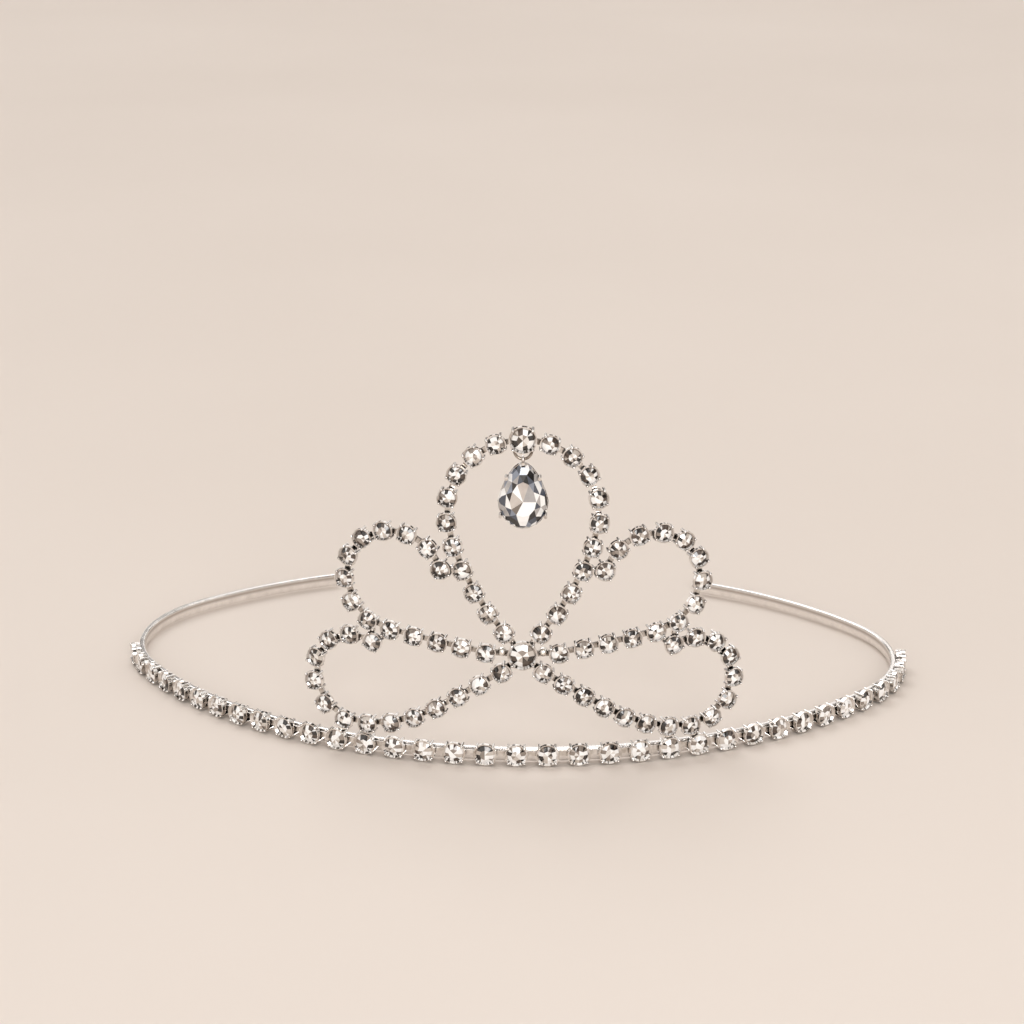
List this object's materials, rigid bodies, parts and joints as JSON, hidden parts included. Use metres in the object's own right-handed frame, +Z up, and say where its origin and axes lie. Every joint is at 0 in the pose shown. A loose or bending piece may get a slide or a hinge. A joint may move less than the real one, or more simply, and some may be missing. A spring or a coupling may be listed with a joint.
{
  "type": "bridal tiara",
  "caption": "Bridal tiara: an open silvered strip with a row of set clear stones, a front panel of open petals of cup chain, and a pear drop hanging in the top petal.",
  "frame": {"origin": "bottom centre of the whole tiara as it stands on a table, on the rims of the row's cups", "axes": "+X to the right as seen from the front, -Y towards the front where the petal panel stands, +Z up"},
  "size_m": [0.1435, 0.09, 0.059],
  "materials": {
    "silver_plate": "polished plate",
    "clear_stone": "faceted, foil backed",
    "solder": "dull lump"
  },
  "bodies": {
    "tiara": {"top_petal_cups": "silver_plate", "top_petal_stones": "clear_stone", "top_petal_links": "silver_plate", "upper_right_petal_cups": "silver_plate", "upper_right_petal_stones": "clear_stone", "upper_right_petal_links": "silver_plate", "upper_left_petal_cups": "silver_plate", "upper_left_petal_stones": "clear_stone", "upper_left_petal_links": "silver_plate", "lower_right_petal_cups": "silver_plate", "lower_right_petal_stones": "clear_stone", "lower_right_petal_links": "silver_plate", "lower_left_petal_cups": "silver_plate", "lower_left_petal_stones": "clear_stone", "lower_left_petal_links": "silver_plate", "headband": "silver_plate", "row_cups": "silver_plate", "row_stones": "clear_stone", "row_links": "silver_plate", "hub_setting": "silver_plate", "hub_stone": "clear_stone", "hub_links": "silver_plate", "crown_setting": "silver_plate", "crown_stone": "clear_stone", "crown_links": "silver_plate", "hub_solder": "solder", "upper_solder_right": "solder", "upper_solder_left": "solder", "lower_solder_right": "solder", "lower_solder_left": "solder", "band_solder_right": "solder", "band_solder_left": "solder", "crown_loop": "silver_plate"},
    "jump_ring": {"jump_ring": "silver_plate"},
    "drop": {"drop_bail": "silver_plate", "drop_setting": "silver_plate", "drop_stone": "clear_stone"}
  },
  "joints": [
    {"name": "jump_ring_swing", "type": "hinge", "parent": "tiara", "child": "jump_ring", "pos_m": [0.0024, -0.04181, 0.05525], "axis": [0, 1, 0], "range_deg": [-30, 30]},
    {"name": "drop_swing", "type": "hinge", "parent": "jump_ring", "child": "drop", "pos_m": [0.0024, -0.04181, 0.05295], "axis": [1, 0, 0], "range_deg": [-45, 60]}
  ]
}
